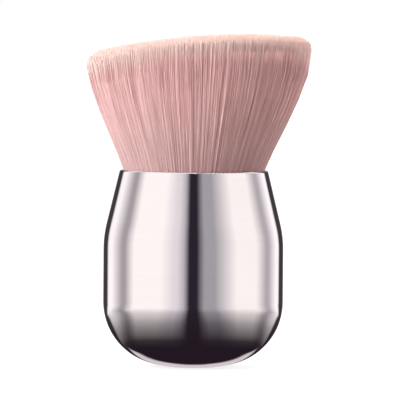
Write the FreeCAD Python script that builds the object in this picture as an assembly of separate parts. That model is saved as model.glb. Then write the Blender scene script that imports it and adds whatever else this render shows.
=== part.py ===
"""Kabuki brush: a weighted, mirror-polished metal handle that carries a dense, slant-cut fibre head.

Sizes are in millimetres. +Z runs up the handle's axis, +X points to the taller side of the head, and the
origin is the centre of the flat foot on which the brush stands.
"""

import FreeCAD, Part
import math
import os

# Handle outline
HANDLE_HEIGHT = 52.6  # foot to rim
BARREL_DIAMETER = 48.0  # widest, straight part of the handle
MOUTH_DIAMETER = 39.5  # outside of the neck at the rim
SHOULDER_HEIGHT = 35.0  # where the lines of neck and barrel meet
SHOULDER_RADIUS = 30.0  # blend between neck and barrel
BASE_CORNER_RADIUS = 17.0  # turn from the barrel into the base
BASE_CROWN_RADIUS = 42.0  # shallow dome of the base
FOOT_DIAMETER = 12.0  # flat on which the brush stands
SHELL_WALL = 0.8  # drawn sheet metal
RIM_ROUND = 0.6  # outer edge of the mouth

# Weight in the base
BED_THICKNESS = 1.2  # resin between the shell and the slug
SLUG_HEIGHT = 7.0  # underside of the slug to the shoulder that carries the sleeve
REGISTER_HEIGHT = 3.0  # boss on the slug that centres the sleeve
REGISTER_CHAMFER = 0.6  # lead-in on that boss
BED_DROP = 2.0  # surface of the resin below the slug's shoulder

# Sleeve that joins the weight, the ferrule cup and the neck
SLEEVE_WALL = 1.0
SLEEVE_FLOOR = 1.6  # web that carries the ferrule cup
SLEEVE_RISE = 3.5  # top of the sleeve above the lip of the cup
VENT_DIAMETER = 8.0  # hole in the web
RIB_COUNT = 6
RIB_THICKNESS = 1.2
RIB_SETBACK = 2.0  # inner end of a rib from the edge of the vent
RIB_CLEARANCE = 0.5  # foot of a rib above the slug's register
BOND_HEIGHT = 5.0  # adhesive ring between sleeve and neck

# Ferrule cup and the root of the fibres
CUP_WALL = 0.5
CUP_CORNER_RADIUS = 1.2  # drawn outer corner at the cup's floor
PLUG_THICKNESS = 2.4  # cured resin under the fibre ends
PLUG_RIM = 0.9  # resin drawn up round the fibre ends
ROOT_CHAMFER = 1.4  # fibre ends pulled in at the edge of the bundle
THREAD_DIAMETER = 0.7
THREAD_TURNS = 5
TURN_GAP = 0.45  # between neighbouring turns of thread
BINDING_MARGIN = 1.8  # fibre left above and below the binding

# Fibre head
BRUSH_HEIGHT = 89.1  # foot to the highest fibre tip
FLARE_ANGLE = 24.5  # degrees from the axis, straight part of the flare
FLARE_RADIUS = 26.5  # fibres bending outwards over the lip of the cup
FLARE_STRAIGHT = 14.0  # rise of the straight part
CROWN_TURN_RADIUS = 58.0  # fibres standing up again towards the tips
LEAN_ANGLE = 1.9  # degrees by which the head leans towards +X
ARCH_RADIUS = 170.0  # trimmed top, arched from side to side and level from front to back
ARCH_OFFSET = 14.0  # highest tips from the handle's axis, towards +X
EDGE_ROUND = 5.0  # trimmed edge of the head
TRIM_ALLOWANCE = 2.0  # fibre length taken off above the highest tip

# Clearances
INSERT_CLEARANCE = 0.2  # sleeve and slug pass the mouth with this to spare, on the radius
SLIP_GAP = 0.1  # nested round pieces, on the radius
SEAT_GAP = 0.05  # resin, adhesive and thread beside what they hold
MOUTH_GAP = 0.15  # fibres inside the rim, on the radius

GAP_SAMPLES = 25  # points on each half turn of thread

AXIS = FreeCAD.Vector(0, 0, 1)
ORIGIN = FreeCAD.Vector(0, 0, 0)

# Handle geometry worked out from the sizes above
barrel_radius = BARREL_DIAMETER / 2
mouth_radius = MOUTH_DIAMETER / 2
neck_angle = math.atan2(barrel_radius - mouth_radius, HANDLE_HEIGHT - SHOULDER_HEIGHT)
crown_centre_z = math.sqrt(BASE_CROWN_RADIUS**2 - (FOOT_DIAMETER / 2) ** 2)
corner_centre_r = barrel_radius - BASE_CORNER_RADIUS
corner_rise = math.sqrt((BASE_CROWN_RADIUS - BASE_CORNER_RADIUS) ** 2 - corner_centre_r**2)
corner_centre_z = crown_centre_z - corner_rise
shoulder_centre_r = barrel_radius - SHOULDER_RADIUS
shoulder_centre_z = SHOULDER_HEIGHT - SHOULDER_RADIUS * math.tan(neck_angle / 2)

# Radii of the nested pieces, from the mouth inwards
mouth_inner_radius = mouth_radius - SHELL_WALL / math.cos(neck_angle)
sleeve_radius = mouth_inner_radius - INSERT_CLEARANCE
sleeve_bore_radius = sleeve_radius - SLEEVE_WALL
register_radius = sleeve_bore_radius - SLIP_GAP
cup_radius = sleeve_bore_radius - SLIP_GAP
cup_bore_radius = cup_radius - CUP_WALL
root_radius = cup_bore_radius - SLIP_GAP
thread_path_radius = root_radius - THREAD_DIAMETER / 2
groove_radius = root_radius - THREAD_DIAMETER - SEAT_GAP

# Heights, from the foot up and from the rim down
slug_bottom_z = SHELL_WALL + BED_THICKNESS
slug_shoulder_z = slug_bottom_z + SLUG_HEIGHT
register_top_z = slug_shoulder_z + REGISTER_HEIGHT
bed_top_z = slug_shoulder_z - BED_DROP

flare = math.radians(FLARE_ANGLE)
flare_arc_rise = FLARE_RADIUS * math.sin(flare)
flare_arc_gain = FLARE_RADIUS * (1 - math.cos(flare))
mouth_gain = mouth_inner_radius - MOUTH_GAP - root_radius


def flare_rise(gain):
    """Rise above the lip of the cup at which the fibres have spread by gain on the radius."""
    if gain > flare_arc_gain:
        return flare_arc_rise + (gain - flare_arc_gain) / math.tan(flare)
    return math.sqrt(2 * FLARE_RADIUS * gain - gain**2)


turn_pitch = THREAD_DIAMETER + TURN_GAP
binding_height = THREAD_TURNS * turn_pitch + THREAD_DIAMETER
lip_z = HANDLE_HEIGHT - flare_rise(mouth_gain)
root_bottom_z = lip_z - binding_height - 2 * BINDING_MARGIN
binding_bottom_z = root_bottom_z + BINDING_MARGIN
cup_floor_z = root_bottom_z - PLUG_THICKNESS
cup_bottom_z = cup_floor_z - CUP_WALL
sleeve_web_z = cup_bottom_z - SLEEVE_FLOOR
sleeve_top_z = lip_z + SLEEVE_RISE
straight_start_z = lip_z + flare_arc_rise
straight_end_z = straight_start_z + FLARE_STRAIGHT
bends_above_rim = straight_start_z > HANDLE_HEIGHT


def at(radius, height):
    """Point of a half section, in the XZ plane."""
    return FreeCAD.Vector(radius, 0, height)


def on_circle(centre_r, centre_z, radius, angle):
    """Point of a half section on a circle, with the angle in radians up from +X."""
    return at(centre_r + radius * math.cos(angle), centre_z + radius * math.sin(angle))


def arc(centre_r, centre_z, radius, first, last):
    """Arc of a half section between two angles, in radians up from +X."""
    ends = [on_circle(centre_r, centre_z, radius, angle) for angle in (first, (first + last) / 2, last)]
    return Part.Arc(*ends).toShape()


def line(start, end):
    """Straight edge between two points."""
    return Part.makeLine(start, end)


def path(*points):
    """Straight edges through the points."""
    return [line(a, b) for a, b in zip(points, points[1:])]


def turned(edges):
    """Solid of revolution about the handle's axis, from the closed half section of the edges."""
    wire = Part.Wire(Part.__sortEdges__(edges))
    return Part.Face(wire).revolve(ORIGIN, AXIS, 360)


def turned_polygon(*points):
    """Solid of revolution from a half section with straight sides."""
    return turned(path(*points, points[0]))


def disc(radius, bottom, top):
    """Upright cylinder on the handle's axis."""
    return Part.makeCylinder(radius, top - bottom, at(0, bottom), AXIS)


def tube(outer, inner, bottom, top):
    """Upright tube on the handle's axis."""
    return disc(outer, bottom, top).cut(disc(inner, bottom, top))


def handle_form(inset):
    """Solid bounded by the handle's outline moved inwards by inset, up to the rim."""
    crown = BASE_CROWN_RADIUS - inset
    corner = BASE_CORNER_RADIUS - inset
    shoulder = SHOULDER_RADIUS - inset
    barrel = barrel_radius - inset
    foot_radius = math.sqrt(crown**2 - (crown_centre_z - inset) ** 2)
    foot_angle = math.atan2(inset - crown_centre_z, foot_radius)
    turn_angle = math.atan2(corner_centre_z - crown_centre_z, corner_centre_r)
    neck_start = on_circle(shoulder_centre_r, shoulder_centre_z, shoulder, neck_angle)
    neck_end = at(mouth_radius - inset / math.cos(neck_angle), HANDLE_HEIGHT)
    return turned([
        line(at(0, inset), at(foot_radius, inset)),
        arc(0, crown_centre_z, crown, foot_angle, turn_angle),
        arc(corner_centre_r, corner_centre_z, corner, turn_angle, 0),
        line(at(barrel, corner_centre_z), at(barrel, shoulder_centre_z)),
        arc(shoulder_centre_r, shoulder_centre_z, shoulder, 0, neck_angle),
        line(neck_start, neck_end),
        line(neck_end, at(0, HANDLE_HEIGHT)),
        line(at(0, HANDLE_HEIGHT), at(0, inset)),
    ])


def circle_edge(solid, radius, height):
    """The circular edge of a solid of revolution that has this radius and height."""
    return min(
        (edge for edge in solid.Edges if isinstance(edge.Curve, Part.Circle)),
        key=lambda edge: math.hypot(edge.Curve.Radius - radius, edge.Curve.Center.z - height),
    )


def make_handle_shell():
    """Drawn and necked metal shell, closed at the base, with a rounded rim."""
    outside = handle_form(0)
    rim_round = min(RIM_ROUND, 0.9 * SHELL_WALL)
    outside = outside.makeFillet(rim_round, [circle_edge(outside, mouth_radius, HANDLE_HEIGHT)])
    return outside.cut(handle_form(SHELL_WALL))


def make_ballast_slug():
    """Turned steel weight that follows the base, with a register on top for the sleeve."""
    body = disc(sleeve_radius, slug_bottom_z, slug_shoulder_z)
    register = turned_polygon(
        at(0, slug_shoulder_z),
        at(register_radius, slug_shoulder_z),
        at(register_radius, register_top_z - REGISTER_CHAMFER),
        at(register_radius - REGISTER_CHAMFER, register_top_z),
        at(0, register_top_z),
    )
    return body.fuse(register).common(handle_form(slug_bottom_z)).removeSplitter()


def make_bedding_resin():
    """Cast resin that fills the base round the slug."""
    bowl = handle_form(SHELL_WALL + SEAT_GAP).common(disc(barrel_radius, 0, bed_top_z))
    well = handle_form(slug_bottom_z - SEAT_GAP).common(disc(sleeve_radius + SEAT_GAP, 0, bed_top_z))
    return bowl.cut(well)


def make_core_sleeve():
    """Moulded sleeve: a pocket for the ferrule cup over a ribbed skirt that stands on the slug."""
    skirt = tube(sleeve_radius, sleeve_bore_radius, slug_shoulder_z, sleeve_top_z)
    web = tube(sleeve_radius, VENT_DIAMETER / 2, sleeve_web_z, cup_bottom_z)
    rib_start = VENT_DIAMETER / 2 + RIB_SETBACK
    rib_bottom = register_top_z + RIB_CLEARANCE
    rib = Part.makeBox(
        sleeve_radius - SLEEVE_WALL / 2 - rib_start,
        RIB_THICKNESS,
        cup_bottom_z - SLEEVE_FLOOR / 2 - rib_bottom,
        FreeCAD.Vector(rib_start, -RIB_THICKNESS / 2, rib_bottom),
    )
    ribs = []
    for index in range(RIB_COUNT):
        turned_rib = rib.copy()
        turned_rib.rotate(ORIGIN, AXIS, index * 360 / RIB_COUNT)
        ribs.append(turned_rib)
    sleeve = skirt.multiFuse([web, *ribs])
    return sleeve.common(handle_form(SHELL_WALL + SEAT_GAP)).removeSplitter()


def make_neck_adhesive():
    """Adhesive ring that locks the sleeve behind the narrower mouth."""
    bottom = sleeve_top_z - BOND_HEIGHT
    band = tube(barrel_radius, sleeve_radius + SEAT_GAP, bottom, sleeve_top_z)
    return handle_form(SHELL_WALL + SEAT_GAP).common(band)


def make_ferrule_cup():
    """Drawn aluminium cup in which the fibre ends are set."""
    cup = disc(cup_radius, cup_bottom_z, lip_z)
    cup = cup.makeFillet(CUP_CORNER_RADIUS, [circle_edge(cup, cup_radius, cup_bottom_z)])
    pocket = disc(cup_bore_radius, cup_floor_z, lip_z)
    pocket_corner = max(CUP_CORNER_RADIUS - CUP_WALL, CUP_WALL)
    pocket = pocket.makeFillet(pocket_corner, [circle_edge(pocket, cup_bore_radius, cup_floor_z)])
    return cup.cut(pocket)


def make_root_plug():
    """Cured resin in the floor of the cup, drawn up round the chamfered fibre ends."""
    radius = cup_bore_radius - SEAT_GAP
    inner = root_radius - ROOT_CHAMFER
    plug = turned_polygon(
        at(0, cup_floor_z),
        at(radius, cup_floor_z),
        at(radius, root_bottom_z + PLUG_RIM),
        at(inner + PLUG_RIM, root_bottom_z + PLUG_RIM),
        at(inner, root_bottom_z),
        at(0, root_bottom_z),
    )
    corner = max(CUP_CORNER_RADIUS - CUP_WALL, CUP_WALL)
    return plug.makeFillet(corner, [circle_edge(plug, radius, cup_floor_z)])


def least_turn_gap(arcs):
    """Least clear distance between parts of the thread that lie a turn or so apart, on sampled points."""
    samples = [edge.discretize(GAP_SAMPLES) for edge in arcs]
    nearest = min(
        a.distanceToPoint(b)
        for first, second in zip(samples, samples[2:])
        for a in first
        for b in second
    )
    return nearest - THREAD_DIAMETER


def make_root_binding():
    """Waxed thread wound round the fibre ends, unbroken: each half turn is a tilted half circle."""
    first_z = binding_bottom_z + THREAD_DIAMETER / 2
    rise = turn_pitch / 4
    reach = math.hypot(thread_path_radius, rise)

    def crossing(half):
        side = (-1) ** half
        return FreeCAD.Vector(side * thread_path_radius, 0, first_z + 2 * rise * half)

    def middle(half):
        side = (-1) ** half
        return FreeCAD.Vector(0, side * reach, first_z + 2 * rise * half + rise)

    halves = range(2 * THREAD_TURNS)
    arcs = [Part.Arc(crossing(half), middle(half), crossing(half + 1)).toShape() for half in halves]
    print(f"root_binding: least gap between turns {least_turn_gap(arcs):.3f} mm")
    section = Part.Wire(Part.makeCircle(THREAD_DIAMETER / 2, crossing(0), FreeCAD.Vector(0, 1, 0)))
    return Part.Wire(arcs).makePipeShell([section], True, False)


def make_fibre_root():
    """Bundle of fibres from the resin plug up to the rim, grooved where the thread draws it in."""
    bend = (root_radius + FLARE_RADIUS, lip_z, FLARE_RADIUS)
    rim_point = at(root_radius + mouth_gain, HANDLE_HEIGHT)
    groove_bottom = binding_bottom_z - SEAT_GAP
    groove_top = binding_bottom_z + binding_height + SEAT_GAP
    edges = path(
        at(0, root_bottom_z),
        at(root_radius - ROOT_CHAMFER, root_bottom_z),
        at(root_radius, root_bottom_z + ROOT_CHAMFER),
        at(root_radius, groove_bottom),
        at(groove_radius, groove_bottom),
        at(groove_radius, groove_top),
        at(root_radius, groove_top),
        at(root_radius, lip_z),
    )
    if bends_above_rim:
        edges.append(arc(*bend, math.pi, math.pi - math.asin((HANDLE_HEIGHT - lip_z) / FLARE_RADIUS)))
    else:
        edges.append(arc(*bend, math.pi, math.pi - flare))
        edges.append(line(at(root_radius + flare_arc_gain, straight_start_z), rim_point))
    edges += path(rim_point, at(0, HANDLE_HEIGHT), at(0, root_bottom_z))
    return turned(edges)


def make_fibre_crown():
    """Spread fibres above the rim, leaning towards +X, trimmed to a slanted arch with a soft edge."""
    top_z = BRUSH_HEIGHT + TRIM_ALLOWANCE
    straight_end_r = root_radius + flare_arc_gain + FLARE_STRAIGHT * math.tan(flare)
    turn_centre_r = straight_end_r - CROWN_TURN_RADIUS * math.cos(flare)
    turn_centre_z = straight_end_z + CROWN_TURN_RADIUS * math.sin(flare)
    top_angle = math.asin((top_z - turn_centre_z) / CROWN_TURN_RADIUS)
    turn = (turn_centre_r, turn_centre_z, CROWN_TURN_RADIUS)
    rim_point = at(root_radius + mouth_gain, HANDLE_HEIGHT)
    top_edge = on_circle(*turn, top_angle)
    outline = [rim_point]
    if bends_above_rim:
        outline.append(at(root_radius + flare_arc_gain, straight_start_z))
    outline.append(at(straight_end_r, straight_end_z))
    outline.append(on_circle(*turn, (top_angle - flare) / 2))
    outline.append(top_edge)
    side = Part.BSplineCurve()
    side.interpolate(outline)
    edges = [side.toShape(), *path(top_edge, at(0, top_z), at(0, HANDLE_HEIGHT), rim_point)]

    lean = math.tan(math.radians(LEAN_ANGLE))
    shear = FreeCAD.Matrix()
    shear.A13 = lean
    shear.A14 = -lean * HANDLE_HEIGHT
    spread = turned(edges).transformGeometry(shear)
    reach = 2 * top_edge.x
    arch_start = FreeCAD.Vector(ARCH_OFFSET, -reach, BRUSH_HEIGHT - ARCH_RADIUS)
    trimmed = spread.common(Part.makeCylinder(ARCH_RADIUS, 2 * reach, arch_start, FreeCAD.Vector(0, 1, 0)))
    cut_face = max(trimmed.Faces, key=lambda face: face.CenterOfMass.z)
    return trimmed.makeFillet(EDGE_ROUND, cut_face.OuterWire.Edges)


def make_fibre_tuft():
    """The whole fibre head: the bound root and the trimmed crown, as one soft body."""
    return make_fibre_root().fuse(make_fibre_crown()).removeSplitter()


PIECES = {
    "handle_shell": make_handle_shell,
    "ballast_slug": make_ballast_slug,
    "bedding_resin": make_bedding_resin,
    "core_sleeve": make_core_sleeve,
    "neck_adhesive": make_neck_adhesive,
    "ferrule_cup": make_ferrule_cup,
    "root_plug": make_root_plug,
    "root_binding": make_root_binding,
    "fibre_tuft": make_fibre_tuft,
}

os.makedirs("parts", exist_ok=True)
for name, make in PIECES.items():
    shape = make()
    shape.exportStep(f"parts/{name}.step")
    box = shape.BoundBox
    print(
        f"{name}: {len(shape.Solids)} solid, valid {shape.isValid()}, {shape.Volume:.1f} mm3,"
        f" x {box.XMin:.2f}..{box.XMax:.2f}, z {box.ZMin:.2f}..{box.ZMax:.2f}"
    )
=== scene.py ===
"""Dress a kabuki makeup brush: mirror-polished handle, flared fibre head, white studio."""

import logging
import math
from collections.abc import Mapping
from dataclasses import dataclass, field
from enum import Enum
from typing import Any

import bmesh
import bpy
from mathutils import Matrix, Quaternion, Vector


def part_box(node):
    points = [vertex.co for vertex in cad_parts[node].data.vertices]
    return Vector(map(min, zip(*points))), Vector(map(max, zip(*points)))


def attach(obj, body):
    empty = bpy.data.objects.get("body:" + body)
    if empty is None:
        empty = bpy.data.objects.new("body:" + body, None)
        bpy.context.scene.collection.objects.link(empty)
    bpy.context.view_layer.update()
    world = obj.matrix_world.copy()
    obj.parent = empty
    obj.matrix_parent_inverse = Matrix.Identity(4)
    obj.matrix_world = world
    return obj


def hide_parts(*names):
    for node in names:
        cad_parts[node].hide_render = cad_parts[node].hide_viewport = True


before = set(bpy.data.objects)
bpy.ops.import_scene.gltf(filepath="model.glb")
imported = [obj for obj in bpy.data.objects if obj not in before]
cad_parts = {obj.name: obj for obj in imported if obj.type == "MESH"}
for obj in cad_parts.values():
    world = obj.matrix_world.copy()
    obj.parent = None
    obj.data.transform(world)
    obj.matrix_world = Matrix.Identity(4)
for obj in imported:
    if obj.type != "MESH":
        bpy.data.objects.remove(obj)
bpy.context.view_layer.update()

MM = 0.001
WHITE = "#ffffff"

# Radius of the fibre head at its widest. It turns the width of a streak into a pattern's scale.
HEAD_RADIUS_MM = 30.0

# Radius of the drawn cup's wall, on which the die lines stand.
CUP_RADIUS_MM = 18.0

# Range in which Blender's noise keeps nearly all its values.
NOISE_RANGE = (0.2, 0.8)

# Step between the seeds of a fibre's own values, wider than the run of the locks' seeds.
SEED_STEP = 100.0

Socket = bpy.types.NodeSocket
Sockets = bpy.types.bpy_prop_collection
Tree = bpy.types.NodeTree
Value = Socket | float
Span = tuple[float, float]

log = logging.getLogger("kabuki_brush")


def linear(code: str) -> tuple[float, float, float, float]:
    """Turn an sRGB hex colour into linear RGBA.

    Args:
        code: colour as "#rrggbb".

    Returns:
        Linear red, green, blue and an alpha of 1.
    """
    parts = [int(code[i:i + 2], 16) / 255 for i in (1, 3, 5)]
    red, green, blue = [c / 12.92 if c <= 0.04045 else ((c + 0.055) / 1.055) ** 2.4 for c in parts]
    return red, green, blue, 1.0


def add_node(
    tree: Tree,
    kind: str,
    inputs: Mapping[str | int, Any] | None = None,
    **settings: Any,
) -> bpy.types.Node:
    """Add one node to a tree, with its settings, values and links.

    Args:
        tree: shader or geometry tree that takes the node.
        kind: Blender's identifier of the node type.
        inputs: for each input, by name or index, a value or the output socket that feeds it.
        settings: properties of the node itself, such as operation.

    Returns:
        The new node.
    """
    node = tree.nodes.new(kind)
    for name, value in settings.items():
        setattr(node, name, value)
    for key, value in (inputs or {}).items():
        if isinstance(value, Socket):
            tree.links.new(value, node.inputs[key])
        else:
            node.inputs[key].default_value = value
    return node


def calc(tree: Tree, operation: str, *values: Value) -> Socket:
    """Add a sum on numbers, by Blender's name of it, and give its result."""
    return add_node(tree, "ShaderNodeMath", dict(enumerate(values)), operation=operation).outputs[0]


def calc_vector(tree: Tree, operation: str, *values: Any) -> Socket:
    """Add a sum on vectors, by Blender's name of it, and give the vector that it makes."""
    return add_node(tree, "ShaderNodeVectorMath", dict(enumerate(values)), operation=operation).outputs[0]


def scaled(tree: Tree, vector: Socket, factor: Value) -> Socket:
    """Add the scaling of a vector by a factor."""
    inputs = {0: vector, "Scale": factor}
    return add_node(tree, "ShaderNodeVectorMath", inputs, operation="SCALE").outputs[0]


def remap(
    tree: Tree,
    value: Socket,
    source: tuple[Value, Value],
    target: Span = (0.0, 1.0),
    **settings: Any,
) -> Socket:
    """Add a change from one range to another, which stops at the ends.

    Args:
        tree: tree that takes the node.
        value: what is changed.
        source: ends of the range that it comes from.
        target: what it is at those ends.
        settings: properties of the node itself.

    Returns:
        The value in its new range.
    """
    return add_node(tree, "ShaderNodeMapRange", {
        "Value": value, "From Min": source[0], "From Max": source[1],
        "To Min": target[0], "To Max": target[1],
    }, **settings).outputs[0]


def blend(tree: Tree, share: Value, first: Value, second: Value) -> Socket:
    """Add a mixture of two numbers that holds a given share of the second."""
    return add_node(tree, "ShaderNodeMix", {0: share, 2: first, 3: second}, data_type="FLOAT").outputs[0]


def blend_colour(tree: Tree, share: Socket, first: Any, second: Any) -> Socket:
    """Add a mixture of two colours that holds a given share of the second."""
    return add_node(tree, "ShaderNodeMix", {0: share, 6: first, 7: second}, data_type="RGBA").outputs[2]


def object_place(tree: Tree) -> Socket:
    """Add the place on the object, in metres."""
    return add_node(tree, "ShaderNodeTexCoord").outputs["Object"]


def own_value(tree: Tree, name: str) -> Socket:
    """Add a value that the mesh carries as an attribute."""
    return add_node(tree, "ShaderNodeAttribute", attribute_name=name).outputs["Fac"]


def axes(tree: Tree, vector: Socket) -> Sockets:
    """Add the splitting of a vector into its X, Y and Z sockets."""
    return add_node(tree, "ShaderNodeSeparateXYZ", {0: vector}).outputs


def heading(tree: Tree, angle: Socket) -> Socket:
    """Add the level direction, one metre long, at an angle from +X in radians."""
    inputs = {"Vector": (1.0, 0.0, 0.0), "Angle": angle}
    return add_node(tree, "ShaderNodeVectorRotate", inputs, rotation_type="Z_AXIS").outputs[0]


def on_axis(tree: Tree, height: Value) -> Socket:
    """Add the point at a height on the brush's axis."""
    return add_node(tree, "ShaderNodeCombineXYZ", {2: height}).outputs[0]


def set_stops(ramp: bpy.types.ColorRamp, stops: list[tuple[float, str]]) -> None:
    """Fill a colour ramp.

    Args:
        ramp: ramp that still has its two default stops.
        stops: position from 0 to 1 and sRGB hex colour of each stop, in rising order.
    """
    while len(ramp.elements) < len(stops):
        ramp.elements.new(1.0)
    for element, (position, code) in zip(ramp.elements, stops, strict=True):
        element.position = position
        element.color = linear(code)


def new_material(name: str) -> bpy.types.Material:
    """Start a node material with its default shader.

    Args:
        name: the real material.

    Returns:
        The material.
    """
    material = bpy.data.materials.new(name)
    material.use_nodes = True
    return material


def new_object(name: str, data: bpy.types.ID) -> bpy.types.Object:
    """Link a mesh, lamp or camera to the scene as an object at the origin.

    Args:
        name: name of the object.
        data: what the object shows.

    Returns:
        The object.
    """
    item = bpy.data.objects.new(name, data)
    bpy.context.scene.collection.objects.link(item)
    return item


class Lay(Enum):
    """Way in which a finish's fine marks lie on a piece."""

    ALL_WAYS = "even in every direction"
    TURNED = "rings round the axis"
    DRAWN = "lines up the wall"


@dataclass(frozen=True)
class Finish:
    """Finish of a rigid piece: fine marks over broad clouding.

    Attributes:
        name: real material and how its surface was made.
        light: colour of the clean surface.
        dark: colour in the marks and clouds.
        metallic: 1 for bare metal.
        roughness: roughness of the clean surface and of the marks.
        lay: direction of the fine marks.
        mark_mm: spacing of the fine marks.
        depth_mm: depth of the fine marks.
        cloud_mm: size of the broad clouding.
        mark_share: share of the fine marks in the pattern, next to the clouding.
        levels: level of the pattern on the clean surface and in the marks.
    """

    name: str
    light: str
    dark: str
    metallic: float
    roughness: Span
    lay: Lay
    mark_mm: float
    depth_mm: float
    cloud_mm: float
    mark_share: float = 0.35
    levels: Span = (0.36, 0.68)

    def material(self) -> bpy.types.Material:
        """Build the finish as a node material.

        Returns:
            The material, which reads Object coordinates.
        """
        material = new_material(self.name)
        tree = material.node_tree
        shader = tree.nodes["Principled BSDF"]
        shader.inputs["Metallic"].default_value = self.metallic
        place = object_place(tree)
        marks = add_node(tree, "ShaderNodeTexNoise", {
            "Vector": self._mark_place(tree, place), "Scale": 1 / (self.mark_mm * MM), "Detail": 2.0,
        }).outputs[0]
        clouds = add_node(tree, "ShaderNodeTexNoise", {
            "Vector": place, "Scale": 1 / (self.cloud_mm * MM), "Detail": 3.0, "Roughness": 0.55,
        }).outputs[0]
        pattern = blend(tree, self.mark_share, clouds, marks)
        colour = add_node(tree, "ShaderNodeValToRGB", {0: pattern})
        set_stops(colour.color_ramp, list(zip(self.levels, (self.light, self.dark))))
        tree.links.new(colour.outputs[0], shader.inputs["Base Color"])
        rough = remap(tree, pattern, self.levels, self.roughness)
        tree.links.new(rough, shader.inputs["Roughness"])
        bump = add_node(tree, "ShaderNodeBump", {
            "Height": marks, "Strength": 1.0, "Distance": self.depth_mm * MM,
        })
        tree.links.new(bump.outputs[0], shader.inputs["Normal"])
        return material

    def _mark_place(self, tree: Tree, place: Socket) -> Socket:
        """Give the coordinates along which the fine marks vary.

        Args:
            tree: the material's tree.
            place: Object coordinates.

        Returns:
            The coordinates for the marks' noise.
        """
        if self.lay is Lay.ALL_WAYS:
            return place
        x, y, z = axes(tree, place)
        flat = add_node(tree, "ShaderNodeCombineXYZ", {0: x, 1: y}).outputs[0]
        if self.lay is Lay.TURNED:
            radius = add_node(tree, "ShaderNodeVectorMath", {0: flat}, operation="LENGTH")
            return add_node(tree, "ShaderNodeCombineXYZ", {0: radius.outputs["Value"], 2: z}).outputs[0]
        return scaled(tree, calc_vector(tree, "NORMALIZE", flat), CUP_RADIUS_MM * MM)


# Bright nickel-chrome plate on drawn metal: a clean, almost white mirror with the last traces of
# the buffing wheel. Real buffing lines are far finer and are drawn coarse enough to show.
PLATE = Finish("bright_chrome_plate_buffed", "#f6f4f5", "#f2f0f1", 1.0, (0.02, 0.045),
               Lay.TURNED, 0.9, 0.00015, 14.0)

# Free-cutting steel off the lathe: grey rings from the tool's feed.
TURNED_STEEL = Finish("mild_steel_turned", "#b9b8b6", "#8f8e8c", 1.0, (0.28, 0.42),
                      Lay.TURNED, 0.4, 0.01, 6.0)

# Cast epoxy: amber, glossy, a little cloudy where it set.
CAST_EPOXY = Finish("epoxy_resin_cast", "#d9c79a", "#c4ad79", 0.0, (0.18, 0.3),
                    Lay.ALL_WAYS, 1.2, 0.02, 5.0)

# Moulded ABS: dull dark grey with a spark-eroded grain.
MOULDED_ABS = Finish("abs_moulded_fine_grain", "#4a4a4c", "#3d3d40", 0.0, (0.45, 0.6),
                     Lay.ALL_WAYS, 0.35, 0.02, 8.0)

# Deep-drawn aluminium: satin, with faint lines up the wall from the die.
DRAWN_ALUMINIUM = Finish("aluminium_deep_drawn", "#d8d8da", "#c2c2c6", 1.0, (0.25, 0.38),
                         Lay.DRAWN, 0.5, 0.006, 7.0)

# Bonded nylon thread: off-white, waxy, its plies showing as a fine grain.
BONDED_NYLON = Finish("nylon_thread_bonded", "#efe6dc", "#d6c8ba", 0.0, (0.35, 0.5),
                      Lay.ALL_WAYS, 0.25, 0.03, 4.0)


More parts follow.
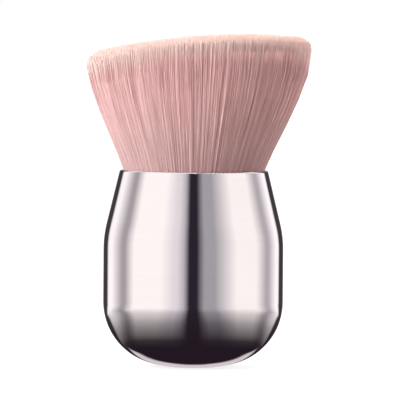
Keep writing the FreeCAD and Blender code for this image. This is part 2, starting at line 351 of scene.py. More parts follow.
@dataclass(frozen=True)
class FibreFinish:
    """Dyed synthetic fibre, seen as streaks that run from the mouth to the trimmed tips.

    Attributes:
        name: real material and how it was made.
        dark: colour of the darkest fibres.
        middle: colour of most fibres.
        light: colour of the palest fibres.
        tip: colour of the feathered tips.
        tip_start: share of a fibre's length from which its tip pales.
        root_shade: how much darker the crowded fibres are at the mouth.
        roughness: roughness of the fibres.
        streak_mm: width of a streak on packed fibres.
        tip_share: how far the very tip takes its own colour.
        mouth_shade_to: share of a fibre's length at which that painted shade ends.
        ends_from: share of the height from which packed fibres are seen end on.
        specular: strength of the mirrored light.
        sheen: strength of the soft light along the edges.
        sheen_roughness: roughness of that soft light.
    """

    name: str
    dark: str
    middle: str
    light: str
    tip: str
    tip_start: float
    root_shade: float
    roughness: float
    streak_mm: float
    tip_share: float = 0.8
    mouth_shade_to: float = 0.6
    ends_from: float = 0.9
    specular: float = 0.2
    sheen: float = 0.16
    sheen_roughness: float = 0.4

    def _shader(self, tree: Tree, tone: Socket, along: Socket) -> None:
        """Colour the fibres by their tone, pale them towards their tips and paint shade on them at the
        mouth.

        Args:
            tree: the material's tree.
            tone: 0 for the darkest fibre, 1 for the palest.
            along: 0 at the mouth, 1 at the tip.
        """
        shader = tree.nodes["Principled BSDF"]
        shader.inputs["Roughness"].default_value = self.roughness
        shader.inputs["Specular IOR Level"].default_value = self.specular
        shader.inputs["Sheen Weight"].default_value = self.sheen
        shader.inputs["Sheen Roughness"].default_value = self.sheen_roughness
        body = add_node(tree, "ShaderNodeValToRGB", {0: tone})
        set_stops(body.color_ramp, [(0.0, self.dark), (0.5, self.middle), (1.0, self.light)])
        paling = remap(tree, along, (self.tip_start, 1.0), (0.0, self.tip_share),
                       interpolation_type="SMOOTHSTEP")
        colour = blend_colour(tree, paling, body.outputs[0], linear(self.tip))
        # Painted shade: the fibres darken towards the mouth, as dense fibres shade each other there.
        mouth_shade = remap(tree, along, (0.0, self.mouth_shade_to), (1.0 - self.root_shade, 1.0))
        tree.links.new(scaled(tree, colour, mouth_shade), shader.inputs["Base Color"])

    def strand_material(self) -> bpy.types.Material:
        """Build the finish for single fibres.

        Returns:
            The material, which reads each fibre's tone and place along it as attributes.
        """
        material = new_material(self.name)
        tree = material.node_tree
        self._shader(tree, own_value(tree, "tone"), own_value(tree, "along"))
        return material

    def packed_material(self) -> bpy.types.Material:
        """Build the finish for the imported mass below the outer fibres.

        Returns:
            The material, whose streaks fan out from the axis.
        """
        material = new_material(self.name + "_packed")
        tree = material.node_tree
        place = object_place(tree)
        flat = calc_vector(tree, "MULTIPLY", place, (1.0, 1.0, 0.0))
        streaks = add_node(tree, "ShaderNodeTexNoise", {
            "Vector": calc_vector(tree, "NORMALIZE", flat),
            "Scale": HEAD_RADIUS_MM / self.streak_mm, "Detail": 3.0,
        }).outputs[0]
        stipple = add_node(tree, "ShaderNodeTexNoise", {
            "Vector": place, "Scale": 1 / (self.streak_mm * MM), "Detail": 2.0,
        }).outputs[0]
        along = own_value(tree, "along")
        ends = remap(tree, along, (self.ends_from, 1.0))
        self._shader(tree, blend(tree, ends, streaks, stipple), along)
        return material


# Crimped nylon filament, dyed dusty rose: soft satin streaks, tips feathered almost to cream.
ROSE_NYLON = FibreFinish("nylon_filament_dyed_rose", "#d59f9f", "#e9b6b5", "#f3c9c6", "#ffe2da",
                         0.83, 0.27, 0.55, 0.5)


@dataclass
class Handle:
    """Hollow metal handle with the weighted core that carries the fibre head.

    Attributes:
        finishes: finish of each CAD node that keeps its own shape.
    """

    finishes: dict[str, Finish] = field(default_factory=lambda: {
        "handle_shell": PLATE,
        "ballast_slug": TURNED_STEEL,
        "bedding_resin": CAST_EPOXY,
        "neck_adhesive": CAST_EPOXY,
        "root_plug": CAST_EPOXY,
        "core_sleeve": MOULDED_ABS,
        "ferrule_cup": DRAWN_ALUMINIUM,
        "root_binding": BONDED_NYLON,
    })

    def dress(self) -> None:
        """Give every node of the handle its finish."""
        made: dict[str, bpy.types.Material] = {}
        for node, finish in self.finishes.items():
            if finish.name not in made:
                made[finish.name] = finish.material()
            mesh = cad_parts[node].data
            mesh.materials.clear()
            mesh.materials.append(made[finish.name])
            log.info("%s: %s", node, finish.name)


@dataclass(frozen=True)
class Lock:
    """One lot of fibres that is grown together.

    Attributes:
        name: name of the piece.
        count: number of fibres.
        seed: seed of everything random in the lot.
        start_deg: angle round the head at which the lot starts, from +X.
        sweep_deg: angle that the lot covers.
        inner: share of the head's radius at which its innermost fibres stand.
        outer: share of the head's radius at which its outermost fibres stand.
        length_mm: length below the tip that is modelled.
        points: points along each fibre.
        thickness_mm: diameter of a fibre, drawn thick enough to show.
    """

    name: str
    count: int
    seed: int
    start_deg: float
    sweep_deg: float
    inner: float
    outer: float
    length_mm: float
    points: int
    thickness_mm: float


def side_lock(side: str, seed: int, start_deg: float) -> Lock:
    """Describe a sixth of the outermost fibres, which show from the mouth to their tips."""
    return Lock("side_fibres_" + side, 6000, seed, start_deg, 60, 0.966, 1.004, 60, 6, 0.13)


@dataclass
class FibreHead:
    """Flared head of fibres, trimmed to a slanted arch.

    Attributes:
        finish: finish of the fibres.
        foot_z: height inside the mouth at which the outer fibres start, in metres.
        edge_z: greatest height at which the side is still untrimmed all round, in metres.
        spread: outward lean of the outer fibres above that height, as run over rise.
        inset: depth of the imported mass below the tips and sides, in metres.
        trim_jitter: unevenness of the trimmed tips, in metres.
        square: how far in the top is measured for fibres at the front and back, which stand taller
            than the rounded edge, as a share of the radius.
        top_reach: share of the radius up to which the top is measured.
        clump: sideways pull of fibres into clumps, in radians.
        clump_mm: width of a clump at the widest part of the head.
        drift: sideways straying of single fibres, in radians.
        relief: standing out of strands, as a share of the radius.
        strand_mm: width of a strand at the widest part of the head.
        strand_tone: how far a strand's outermost fibres share one tone.
        outer_power: how fast relief and shared tone fade towards the axis.
        edge_cut: how much shorter the outermost fibres are cut at the left and right, in metres.
        cut_shares: shares of the radius between which that cut sets in.
        stray: outward straying of the loosest fibres at their tips, as a share of the radius.
        stray_power: how rare loose fibres are.
        taper_start: share of a fibre's length from which it narrows.
        taper_end: share of its thickness that is left at the tip.
        locks: lots of fibres that make up the head.
    """

    finish: FibreFinish = ROSE_NYLON
    foot_z: float = 0.051
    edge_z: float = 0.078
    spread: float = 0.12
    inset: float = 0.75 * MM
    trim_jitter: float = 0.7 * MM
    square: float = 0.03
    top_reach: float = 0.994
    clump: float = 0.016
    clump_mm: float = 2.2
    drift: float = 0.02
    relief: float = 0.025
    strand_mm: float = 0.825
    strand_tone: float = 0.45
    outer_power: float = 12.0
    edge_cut: float = 1.0 * MM
    cut_shares: Span = (0.97, 1.004)
    stray: float = 0.022
    stray_power: float = 6.0
    taper_start: float = 0.92
    taper_end: float = 0.6
    locks: tuple[Lock, ...] = (
        side_lock("front_left", 11, 210),
        side_lock("front_right", 12, 270),
        side_lock("right", 13, 330),
        side_lock("back_right", 14, 30),
        side_lock("back_left", 15, 90),
        side_lock("left", 16, 150),
        Lock("tip_fibres_inner", 22000, 17, 0, 360, 0.0, 0.58, 5, 2, 0.16),
        Lock("tip_fibres_middle", 22000, 18, 0, 360, 0.58, 0.82, 5, 2, 0.16),
        Lock("tip_fibres_outer", 22000, 19, 0, 360, 0.82, 0.972, 6, 2, 0.14),
    )

    def build(self) -> list[bpy.types.Object]:
        """Make the head's pieces in place of its CAD solid.

        Returns:
            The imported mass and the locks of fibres.
        """
        surface = self._surface()
        strand = self.finish.strand_material()
        tree = self._lock_tree()
        pieces = [self._packed_mass(surface)]
        pieces += [self._grow(tree, surface, lock, strand) for lock in self.locks]
        bpy.data.meshes.remove(surface)
        for piece in pieces:
            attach(piece, "root")
            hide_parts("fibre_tuft")
            log.info("%s: %d triangles", piece.name, len(piece.data.loop_triangles))
        return pieces

    def _surface(self) -> bpy.types.Mesh:
        """Copy the head's CAD solid with its triangles joined.

        Returns:
            The copied mesh, without materials.
        """
        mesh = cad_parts["fibre_tuft"].data.copy()
        work = bmesh.new()
        work.from_mesh(mesh)
        bmesh.ops.remove_doubles(work, verts=work.verts, dist=1e-6)
        work.to_mesh(mesh)
        work.free()
        mesh.materials.clear()
        return mesh

    def _packed_mass(self, surface: bpy.types.Mesh) -> bpy.types.Object:
        """Make the packed fibres that show as depth between the outer ones.

        Args:
            surface: the head's joined CAD surface.

        Returns:
            The CAD form, drawn in below the sides and tips.
        """
        mesh = surface.copy()
        work = bmesh.new()
        work.from_mesh(mesh)
        work.normal_update()
        along = work.verts.layers.float.new("along")
        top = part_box("fibre_tuft")[1][2]
        moves = [(vertex, vertex.normal.copy()) for vertex in work.verts if vertex.co.z > self.foot_z]
        for vertex, normal in moves:
            rise = (vertex.co.z - self.foot_z) / (top - self.foot_z)
            # Where the surface looks up by 30 degrees or more, only tips show.
            vertex[along] = max(rise, min(2 * normal.z, 1.0))
            vertex.co -= normal * self.inset
        work.to_mesh(mesh)
        work.free()
        mesh.shade_smooth()
        mesh.materials.append(self.finish.packed_material())
        mesh.calc_loop_triangles()
        return new_object("packed_fibres", mesh)

    def _grow(
        self,
        tree: Tree,
        surface: bpy.types.Mesh,
        lock: Lock,
        material: bpy.types.Material,
    ) -> bpy.types.Object:
        """Grow one lock of fibres inside the head's surface.

        Args:
            tree: the geometry tree that grows a lock.
            surface: the head's joined CAD surface.
            lock: the lock's count, place and sizes.
            material: the fibres' finish.

        Returns:
            The lock as a plain mesh object.
        """
        values = {
            "Count": lock.count,
            "Seed": lock.seed,
            "Start Angle": math.radians(lock.start_deg),
            "End Angle": math.radians(lock.start_deg + lock.sweep_deg),
            "Inner Share Squared": lock.inner ** 2,
            "Outer Share Squared": lock.outer ** 2,
            "Length": lock.length_mm * MM,
            "Points": lock.points,
            "Thickness": lock.thickness_mm * MM / 2,
            "Material": material,
        }
        carrier = new_object(lock.name + "_carrier", surface.copy())
        modifier = carrier.modifiers.new("Grow", "NODES")
        modifier.node_group = tree
        for item in tree.interface.items_tree:
            if item.item_type == "SOCKET" and item.name in values:
                modifier[item.identifier] = values[item.name]
        evaluated = carrier.evaluated_get(bpy.context.evaluated_depsgraph_get())
        mesh = bpy.data.meshes.new_from_object(evaluated)
        carrier.modifiers.clear()
        bpy.data.objects.remove(carrier)
        mesh.name = lock.name
        mesh.calc_loop_triangles()
        return new_object(lock.name, mesh)

    def _lock_tree(self) -> Tree:
        """Build the geometry tree that grows a lock of fibres.

        Each fibre starts inside the mouth, follows the side of the head at its own share of the
        radius and ends where it meets the trimmed arch.

        Returns:
            The tree, with the lock's sizes as named inputs.
        """
        tree = bpy.data.node_groups.new("Fibre lock", "GeometryNodeTree")
        sockets = {
            "Surface": "Geometry", "Count": "Int", "Seed": "Int", "Start Angle": "Float",
            "End Angle": "Float", "Inner Share Squared": "Float", "Outer Share Squared": "Float",
            "Length": "Float", "Points": "Int", "Thickness": "Float", "Material": "Material",
        }
        for name, kind in sockets.items():
            tree.interface.new_socket(name, in_out="INPUT", socket_type="NodeSocket" + kind)
        tree.interface.new_socket("Fibres", in_out="OUTPUT", socket_type="NodeSocketGeometry")
        given = add_node(tree, "NodeGroupInput").outputs
        fibres = self._shaped_curves(tree, given, self._rooted_points(tree, given))
        taper = remap(tree, self._stored(tree, "along"), (self.taper_start, 1.0), (1.0, self.taper_end))
        profile = add_node(tree, "GeometryNodeCurvePrimitiveCircle", {
            "Resolution": 3, "Radius": given["Thickness"],
        })
        tubes = add_node(tree, "GeometryNodeCurveToMesh", {
            "Curve": fibres, "Profile Curve": profile.outputs[0], "Scale": taper, "Fill Caps": True,
        })
        smooth = add_node(tree, "GeometryNodeSetShadeSmooth", {"Geometry": tubes.outputs[0]})
        real = add_node(tree, "GeometryNodeRealizeInstances", {"Geometry": smooth.outputs[0]})
        dyed = add_node(tree, "GeometryNodeSetMaterial", {
            "Geometry": real.outputs[0], "Material": given["Material"],
        })
        add_node(tree, "NodeGroupOutput", {"Fibres": dyed.outputs[0]})
        return tree

    def _store(self, tree: Tree, geometry: Socket, name: str, value: Socket) -> Socket:
        """Store a number under a name on every point of some points or curves."""
        inputs = {"Geometry": geometry, "Name": name, "Value": value}
        return add_node(tree, "GeometryNodeStoreNamedAttribute", inputs).outputs[0]

    def _stored(self, tree: Tree, name: str) -> Socket:
        """Read back a number that was stored on every point."""
        return add_node(tree, "GeometryNodeInputNamedAttribute", {"Name": name}).outputs[0]

    def _bunching(self, tree: Tree, facing: Socket, width_mm: float) -> Socket:
        """Give a noise that gathers fibres into bunches of a width at the head's widest part."""
        inputs = {"Vector": facing, "Scale": HEAD_RADIUS_MM / width_mm, "Detail": 5.0, "Roughness": 0.65}
        return add_node(tree, "ShaderNodeTexNoise", inputs).outputs[0]

    def _rooted_points(self, tree: Tree, given: Sockets) -> Socket:
        """Scatter the fibres' roots and give each its own angle, depth, drift, trim and tone.

        Args:
            tree: the lock's tree.
            given: the tree's input sockets.

        Returns:
            The points, with those values as attributes.
        """
        index = add_node(tree, "GeometryNodeInputIndex").outputs[0]
        ranges = {
            "angle": (given["Start Angle"], given["End Angle"]),
            "share": (given["Inner Share Squared"], given["Outer Share Squared"]),
            "drift": (-self.drift, self.drift),
            "trim": (0.0, self.trim_jitter),
            "tone": (0.0, 1.0),
            "stray": (0.0, 1.0),
        }
        chance = {}
        for step, (name, (low, high)) in enumerate(ranges.items()):
            seed = calc(tree, "ADD", given["Seed"], SEED_STEP * step)
            chance[name] = add_node(tree, "FunctionNodeRandomValue", {
                2: low, 3: high, "ID": index, "Seed": seed,
            }, data_type="FLOAT").outputs[1]
        depth = calc(tree, "SQRT", chance["share"])
        facing = heading(tree, chance["angle"])
        clumps = self._bunching(tree, facing, self.clump_mm)
        pull = remap(tree, clumps, NOISE_RANGE, (-self.clump, self.clump))
        strands = self._bunching(tree, facing, self.strand_mm)
        sunk = remap(tree, strands, NOISE_RANGE, (self.relief, 0.0))
        outer = calc(tree, "POWER", depth, self.outer_power)
        banded = calc(tree, "MULTIPLY", outer, self.strand_tone)
        rare = calc(tree, "POWER", chance["stray"], self.stray_power)
        own = {
            "angle": chance["angle"],
            "share": calc(tree, "SUBTRACT", depth, calc(tree, "MULTIPLY", sunk, outer)),
            "drift": calc(tree, "ADD", chance["drift"], pull),
            "trim": chance["trim"],
            "tone": blend(tree, banded, chance["tone"], strands),
            "stray": calc(tree, "MULTIPLY", rare, self.stray),
        }
        points = add_node(tree, "GeometryNodePoints", {"Count": given["Count"]}).outputs[0]
        for name, value in own.items():
            points = self._store(tree, points, name, value)
        return points

    def _hit(self, tree: Tree, surface: Socket, start: Socket, way: Socket) -> bpy.types.Node:
        """Find where a line from inside the head meets its surface."""
        inputs = {"Target Geometry": surface, "Source Position": start, "Ray Direction": way}
        return add_node(tree, "GeometryNodeRaycast", inputs)

    def _tip_height(self, tree: Tree, surface: Socket, own: Mapping[str, Socket]) -> Socket:
        """Give the height at which each fibre is trimmed.

        Args:
            tree: the lock's tree.
            surface: the head's surface.
            own: each fibre's own values.

        Returns:
            The height of the fibre's tip.
        """
        way = heading(tree, calc(tree, "ADD", own["angle"], own["drift"]))
        axis_point = on_axis(tree, self.edge_z)
        side = self._hit(tree, surface, axis_point, way).outputs["Hit Distance"]
        frontal = calc(tree, "POWER", axes(tree, way)[1], 2.0)
        drawn_in = calc(tree, "MULTIPLY_ADD", frontal, -self.square, 1.0)
        inside = calc(tree, "MINIMUM", own["share"], self.top_reach)
        radius = calc(tree, "MULTIPLY", side, calc(tree, "MULTIPLY", inside, drawn_in))
        start = calc_vector(tree, "ADD", scaled(tree, way, radius), axis_point)
        lean = scaled(tree, way, calc(tree, "MULTIPLY", own["share"], self.spread))
        rising = calc_vector(tree, "ADD", lean, (0.0, 0.0, 1.0))
        arch = axes(tree, self._hit(tree, surface, start, rising).outputs["Hit Position"])
        rounded = remap(tree, own["share"], self.cut_shares, (0.0, self.edge_cut))
        sideways = calc(tree, "SUBTRACT", 1.0, frontal)
        cut = calc(tree, "MULTIPLY_ADD", rounded, sideways, own["trim"])
        return calc(tree, "SUBTRACT", arch[2], cut)

    def _shaped_curves(self, tree: Tree, given: Sockets, roots: Socket) -> Socket:
        """Lead one curve per root up the head and trim it at the arch.

        Args:
            tree: the lock's tree.
            given: the tree's input sockets.
            roots: points with each fibre's own values.

        Returns:
            The curves, with their place along the head as an attribute.
        """
        own = {name: self._stored(tree, name) for name in ("angle", "share", "drift", "trim", "stray")}
        straight = add_node(tree, "GeometryNodeCurvePrimitiveLine", {"End": (0.0, 0.0, 1.0)})
        divided = add_node(tree, "GeometryNodeResampleCurve", {
            "Curve": straight.outputs[0], "Count": given["Points"],
        })
        placed = add_node(tree, "GeometryNodeInstanceOnPoints", {
            "Points": roots, "Instance": divided.outputs[0],
        })
        curves = add_node(tree, "GeometryNodeRealizeInstances", {"Geometry": placed.outputs[0]})
        travel = add_node(tree, "GeometryNodeSplineParameter").outputs["Factor"]

        tip_z = self._tip_height(tree, given["Surface"], own)
        start_z = calc(tree, "MAXIMUM", calc(tree, "SUBTRACT", tip_z, given["Length"]), self.foot_z)
        height = blend(tree, travel, start_z, tip_z)
        along = remap(tree, height, (self.foot_z, tip_z))
        way = heading(tree, calc(tree, "MULTIPLY_ADD", own["drift"], along, own["angle"]))
        level = calc(tree, "MINIMUM", height, self.edge_z)
        side = self._hit(tree, given["Surface"], on_axis(tree, level), way).outputs["Hit Distance"]
        over = calc(tree, "SUBTRACT", height, level)
        reach = calc(tree, "MULTIPLY_ADD", over, self.spread, side)
        bend = calc(tree, "POWER", along, 2.0)
        loose = calc(tree, "MULTIPLY_ADD", bend, own["stray"], own["share"])
        flat = scaled(tree, way, calc(tree, "MULTIPLY", reach, loose))

        noted = self._store(tree, curves.outputs[0], "along", along)
        shaped = add_node(tree, "GeometryNodeSetPosition", {
            "Geometry": noted, "Position": calc_vector(tree, "ADD", flat, on_axis(tree, height)),
        })
        # Each fibre is turned on itself by chance, so that its flats don't line up with the next one's.
        tilt = calc(tree, "MULTIPLY", own["trim"], 2 * math.pi / self.trim_jitter)
        return add_node(tree, "GeometryNodeSetCurveTilt", {
            "Curve": shaped.outputs[0], "Tilt": tilt,
        }).outputs[0]


@dataclass(frozen=True)
class Panel:
    """One thing that hangs round the light tent and shows in the polished metal.

    Attributes:
        name: what it is.
        start_deg: angle at which it starts, from the camera towards +X.
        end_deg: angle at which it ends.
        colour: its colour under the studio's light.
    """

    name: str
    start_deg: float
    end_deg: float
    colour: str


@dataclass(frozen=True)
class Lamp:
    """One soft lamp, far away.

    Attributes:
        name: which lamp it is.
        strength: its light on a surface that faces it, in watts per square metre.
        azimuth_deg: where it hangs, from the camera towards +X.
        elevation_deg: its height above the horizon.
        spread_deg: how wide it looks from the object.
    """

    name: str
    strength: float
    azimuth_deg: float
    elevation_deg: float
    spread_deg: float

    def hang(self, colour: str) -> None:
        """Add the lamp to the scene, unseen in the polished metal.

        Args:
            colour: colour of its light.
        """
        data = bpy.data.lights.new(self.name, "SUN")
        data.energy = self.strength
        data.color = linear(colour)[:3]
        data.angle = math.radians(self.spread_deg)
        around = math.radians(self.azimuth_deg)
        up = math.radians(self.elevation_deg)
        level = math.cos(up)
        towards = Vector((math.sin(around) * level, -math.cos(around) * level, math.sin(up)))
        lamp = new_object(self.name, data)
        lamp.rotation_euler = towards.to_track_quat("Z", "Y").to_euler()
        lamp.visible_glossy = False


@dataclass(frozen=True)
class Stretch:
    """Change of the panels' angles on the tent's floor near the object, as the bowl shows it.

    Attributes:
        front_deg: angles from the camera between which the front's factor changes.
        front: factor of the angle there.
        back_deg: angles from the camera between which the back's factor changes.
        back: factor of the angle there.
        reach_mm: distances from the axis between which the change sets in.
    """

    front_deg: Span = (15, 60)
    front: Span = (0.85, 1.25)
    back_deg: Span = (100, 180)
    back: Span = (1.0, 0.8)
    reach_mm: Span = (100, 36)

    def factor(self, tree: Tree, angle: Socket, share: Value) -> Socket:
        """Give the factor by which an angle changes.

        Args:
            tree: shader tree of a stage piece.
            angle: angle from the camera, in radians.
            share: how much of the change is used, from 0 to 1.

        Returns:
            The factor.
        """
        size = calc(tree, "ABSOLUTE", angle)
        low, high = map(math.radians, self.front_deg)
        front = remap(tree, size, (low, high), self.front)
        low, high = map(math.radians, self.back_deg)
        back = remap(tree, size, (low, high), self.back)
        return blend(tree, share, 1.0, calc(tree, "MULTIPLY", front, back))


@dataclass(frozen=True)
class PaintedShinePatch:
    """Patch of painted reflection on the tent's floor under the object, which pales the bowl's lower edge.

    Attributes:
        colour: colour of the painted reflection.
        half_mm: half the length of its straight edge towards the camera.
        slope: how steeply that edge falls back beyond, as run back over run aside.
        edge_mm: place of that edge along Y, where the shine sets in.
        back_mm: place along Y where the shine ends.
        reach_mm: distances from the axis between which the shine ends at the sides.
        facing: slant of sight at which the shine sets in, from 0 for square on to 1.
    """

    colour: str = "#cfc6ca"
    half_mm: float = 13
    slope: float = 1.5
    edge_mm: Span = (-11, -9)
    back_mm: Span = (4, 0)
    reach_mm: Span = (55, 45)
    facing: Span = (0.4, 0.5)

    def share(self, tree: Tree, place: Socket, radius: Socket) -> Socket:
        """Give the share of the shine at each place.

        Args:
            tree: shader tree of the tent's floor.
            place: Object coordinates.
            radius: distance from the axis, in metres.

        Returns:
            0 where the floor is dull, 1 where it shines.
        """
        x, y, _ = axes(tree, place)
        slant = add_node(tree, "ShaderNodeLayerWeight", {"Blend": 0.5}).outputs["Facing"]
        gloss = remap(tree, slant, self.facing)
        near = remap(tree, radius, (self.reach_mm[0] * MM, self.reach_mm[1] * MM))
        aside = calc(tree, "SUBTRACT", calc(tree, "ABSOLUTE", x), self.half_mm * MM)
        depth = calc(tree, "MULTIPLY_ADD", calc(tree, "MAXIMUM", aside, 0.0), -self.slope, y)
        behind = remap(tree, depth, (self.edge_mm[0] * MM, self.edge_mm[1] * MM))
        before = remap(tree, y, (self.back_mm[0] * MM, self.back_mm[1] * MM))
        patch = calc(tree, "MULTIPLY", near, calc(tree, "MULTIPLY", before, behind))
        return calc(tree, "MULTIPLY", patch, gloss)


@dataclass
class Studio:
    """White table-top studio: pale floor, light tent for the mirror finish, soft lamps, camera.

    Attributes:
        target: point on which the camera is centred, in metres.
        frame_width: width that the picture covers at the target, in metres.
        distance: distance from camera to target, in metres.
        elevation_deg: camera's height above the horizon.
        roll_deg: camera's turn about its own line of sight.
        floor_half: half the width of the floor, in metres.
        floor_colour: colour of the floor where lamps light it.
        floor_lift: brightness that the floor gains where it shows.
        tent_radius: radius of the light tent, in metres.
        tent_height: height of the light tent, in metres.
        tent_lift: height of the tent's floor above the studio's, in metres.
        tent_facets: number of flat strips in the tent's round wall.
        tent_strength: brightness of the tent where it is white.
        panels: what hangs round the tent, in rising order of angle, each fading into the next.
        floor_levels: share of painted light on the tent's floor, by distance from the axis in millimetres.
        painted_floor_shade: colour of the shade painted on the tent's floor round the object's foot.
        stretch: change of the panels' angles on the tent's floor.
        patch: painted reflection on the tent's floor under the object.
        sky: strength of the surroundings' soft light.
        sky_colour: colour of the soft light, a little warm.
        overhead: strength that the soft light gains straight above.
        lamps: the large lamp at the left and the one behind at the right.
        lamp_colour: colour of the lamps, a little cool.
    """

    target: Vector = field(default_factory=lambda: Vector((0.00168, 0.0, 0.0446)))
    frame_width: float = 0.10667
    distance: float = 1.5
    elevation_deg: float = 1.9
    roll_deg: float = 0.4
    floor_half: float = 30.0
    floor_colour: str = "#8f8d8c"
    floor_lift: float = 0.82
    tent_radius: float = 0.22
    tent_height: float = 0.2
    tent_lift: float = 0.1 * MM
    tent_facets: int = 96
    tent_strength: float = 1.09
    panels: tuple[Panel, ...] = (
        Panel("wall_behind_left", -180, -172, "#b4aeb2"),
        Panel("left_flag", -157, -139, "#3e383e"),
        Panel("far_left_cloth", -133, -122, "#fff8f8"),
        Panel("left_seam", -99, -93, "#a69ea2"),
        Panel("left_cloth", -78, -40, "#fff7f6"),
        Panel("left_edge", -22, -19, "#e0d8dc"),
        Panel("left_fade", -12.5, -12, "#c0b9c0"),
        Panel("lens_slot", -5, 4.7, "#29232d"),
        Panel("grey_card", 14, 26, "#a19da3"),
        Panel("right_cloth", 55, 84, "#fdf4f3"),
        Panel("right_seam", 102, 108, "#b2abaf"),
        Panel("far_right_cloth", 126, 134, "#fff8fa"),
        Panel("right_flag", 139, 157, "#3e383e"),
        Panel("wall_behind_right", 172, 180, "#b4aeb2"),
    )
    # Painted shade on the tent's floor, by distance from the axis: dark under the object.
    floor_levels: tuple[tuple[float, str], ...] = (
        (20, "#000000"), (24, "#272727"), (28, "#606060"), (33, "#7c7c7c"), (41, "#999999"),
        (55, "#bfbfbf"), (88, "#e2e2e2"), (120, "#f9f9f9"), (150, WHITE),
    )
    painted_floor_shade: str = "#231922"
    stretch: Stretch = Stretch()
    patch: PaintedShinePatch = PaintedShinePatch()
    sky: float = 0.64
    sky_colour: str = "#fff9f7"
    overhead: float = 0.75
    lamps: tuple[Lamp, ...] = (
        Lamp("key_lamp", 4.4, -52.0, 20.0, 36.0),
        Lamp("rim_lamp", 2.0, 118.0, 20.0, 40.0),
    )
    lamp_colour: str = "#ecffff"

    def build(self) -> None:
        """Set up the floor, tent, lamps, sky, camera and view."""
        self._floor()
        self._tent()
        self._tent_floor()
        for lamp in self.lamps:
            lamp.hang(self.lamp_colour)
        self._sky()
        self._camera()
        bpy.context.scene.view_settings.view_transform = "Standard"

    def _seen(self, tree: Tree) -> Socket:
        """Tell rays that show the background from rays that light the object.

        Args:
            tree: shader tree of the floor or the sky.

        Returns:
            1 for camera, glossy and transmission rays, otherwise 0.
        """
        path = add_node(tree, "ShaderNodeLightPath").outputs
        mirrored = calc(tree, "MAXIMUM", path["Is Glossy Ray"], path["Is Transmission Ray"])
        return calc(tree, "MAXIMUM", path["Is Camera Ray"], mirrored)

    def _floor(self) -> None:
        """Lay a wide pale floor that keeps the object's shadow."""
        half = self.floor_half
        mesh = bpy.data.meshes.new("floor")
        corners = [(-half, -half, 0), (half, -half, 0), (half, half, 0), (-half, half, 0)]
        mesh.from_pydata(corners, [], [(0, 1, 2, 3)])
        # Matt laminate: plain white where it shows, with only the shadow on it.
        material = new_material("matt_white_laminate")
        tree = material.node_tree
        shader = tree.nodes["Principled BSDF"]
        shader.inputs["Base Color"].default_value = linear(self.floor_colour)
        shader.inputs["Roughness"].default_value = 0.9
        shader.inputs["Specular IOR Level"].default_value = 0.0
        shader.inputs["Emission Color"].default_value = linear(WHITE)
        lift = calc(tree, "MULTIPLY", self._seen(tree), self.floor_lift)
        tree.links.new(lift, shader.inputs["Emission Strength"])
        mesh.materials.append(material)
        new_object("floor", mesh)

    def _around(self, tree: Tree, share: Value = 0.0) -> Socket:
        """Give the tent's brightness at each angle round the object.

        Args:
            tree: shader tree of a stage piece at the origin.
            share: how much of the stretch is used, from 0 to 1.

        Returns:
            The colour that the tent has in that direction.
        """
        x, y, _ = axes(tree, object_place(tree))
        angle = calc(tree, "ARCTAN2", x, calc(tree, "MULTIPLY", y, -1.0))
        bent = calc(tree, "MULTIPLY", angle, self.stretch.factor(tree, angle, share))
        ramp = add_node(tree, "ShaderNodeValToRGB", {0: remap(tree, bent, (-math.pi, math.pi))})
        edges = [(edge, panel.colour) for panel in self.panels for edge in (panel.start_deg, panel.end_deg)]
        set_stops(ramp.color_ramp, [((edge + 180) / 360, colour) for edge, colour in edges])
        return ramp.outputs[0]

    def _glowing(self, name: str) -> bpy.types.Material:
        """Start a material that only glows.

        Args:
            name: the real material.

        Returns:
            The material, with an emptied tree.
        """
        material = new_material(name)
        material.cycles.emission_sampling = "NONE"
        material.node_tree.nodes.clear()
        return material

    def _mirrored_piece(
        self,
        name: str,
        work: bmesh.types.BMesh,
        material: bpy.types.Material,
        colour: Socket,
    ) -> None:
        """Finish a glowing stage piece that only reflections show.

        Args:
            name: name of the piece.
            work: its shape, which is used up.
            material: its glowing material.
            colour: what it glows with.
        """
        mesh = bpy.data.meshes.new(name)
        work.to_mesh(mesh)
        work.free()
        tree = material.node_tree
        glow = add_node(tree, "ShaderNodeEmission", {"Color": colour, "Strength": self.tent_strength})
        add_node(tree, "ShaderNodeOutputMaterial", {"Surface": glow.outputs[0]})
        mesh.materials.append(material)
        item = new_object(name, mesh)
        for ray in ("camera", "diffuse", "transmission", "volume_scatter", "shadow"):
            setattr(item, "visible_" + ray, False)

    def _tent(self) -> None:
        """Stand the light tent round the object, for its reflections alone."""
        work = bmesh.new()
        bmesh.ops.create_cone(work, segments=self.tent_facets, radius1=self.tent_radius,
                              radius2=self.tent_radius, depth=self.tent_height, cap_ends=False)
        bmesh.ops.translate(work, verts=work.verts, vec=(0, 0, self.tent_height / 2))
        # White cloth with grey seams and dark flags, which draw the upright bands in the metal.
        material = self._glowing("lit_tent_cloth")
        self._mirrored_piece("light_tent", work, material, self._around(material.node_tree))

    def _tent_floor(self) -> None:
        """Lay the tent's own floor, with the object's shade painted on it, for its reflections alone."""
        work = bmesh.new()
        bmesh.ops.create_circle(work, cap_ends=True, segments=self.tent_facets, radius=self.tent_radius)
        bmesh.ops.translate(work, verts=work.verts, vec=(0, 0, self.tent_lift))
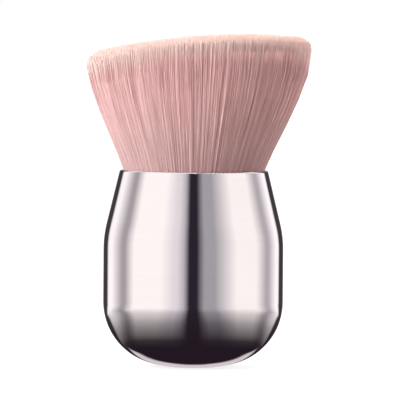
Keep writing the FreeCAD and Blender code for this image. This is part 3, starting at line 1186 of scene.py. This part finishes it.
        # The same cloth with the object's shade painted on it, which darkens the bowl towards its foot.
        material = self._glowing("painted_shade_tent_cloth")
        tree = material.node_tree
        place = object_place(tree)
        radius = add_node(tree, "ShaderNodeVectorMath", {0: place}, operation="LENGTH").outputs["Value"]
        # Painted shade: the floor's glow is darkest near the object and whitens further out.
        light = add_node(tree, "ShaderNodeValToRGB", {0: calc(tree, "DIVIDE", radius, self.tent_radius)})
        set_stops(light.color_ramp, [(r * MM / self.tent_radius, code) for r, code in self.floor_levels])
        far, near = self.stretch.reach_mm
        lit = self._around(tree, remap(tree, radius, (far * MM, near * MM)))
        painted_shade = blend_colour(tree, light.outputs[0], linear(self.painted_floor_shade), lit)
        # Painted reflection: a pale glow on the tent's floor under the object, seen at a slant.
        shine = self.patch.share(tree, place, radius)
        colour = blend_colour(tree, shine, painted_shade, linear(self.patch.colour))
        self._mirrored_piece("tent_floor", work, material, colour)

    def _sky(self) -> None:
        """Make the surroundings white where they show and softer where they light the object."""
        world = bpy.data.worlds.new("white_studio")
        bpy.context.scene.world = world
        world.use_nodes = True
        tree = world.node_tree
        back = tree.nodes["Background"]
        seen = self._seen(tree)
        tint = blend_colour(tree, seen, linear(self.sky_colour), linear(WHITE))
        tree.links.new(tint, back.inputs["Color"])
        way = add_node(tree, "ShaderNodeTexCoord").outputs["Generated"]
        height = calc(tree, "MAXIMUM", axes(tree, way)[2], 0.0)
        soft = calc(tree, "MULTIPLY_ADD", height, self.overhead, self.sky)
        tree.links.new(blend(tree, seen, soft, 1.0), back.inputs["Strength"])

    def _camera(self) -> None:
        """Place the camera at the photograph's viewing angle."""
        data = bpy.data.cameras.new("camera")
        data.lens = data.sensor_width * self.distance / self.frame_width
        data.clip_end = 100.0
        up = math.radians(self.elevation_deg)
        towards = Vector((0.0, -math.cos(up), math.sin(up)))
        camera = new_object("camera", data)
        camera.location = self.target + towards * self.distance
        roll = Quaternion((0.0, 0.0, 1.0), math.radians(self.roll_deg))
        camera.rotation_euler = (towards.to_track_quat("Z", "Y") @ roll).to_euler()
        bpy.context.scene.camera = camera


def main() -> None:
    """Build the brush and its studio."""
    Handle().dress()
    FibreHead().build()
    Studio().build()
    bpy.context.view_layer.update()


if __name__ == "__main__":
    logging.basicConfig(level=logging.INFO, format="%(message)s")
    main()
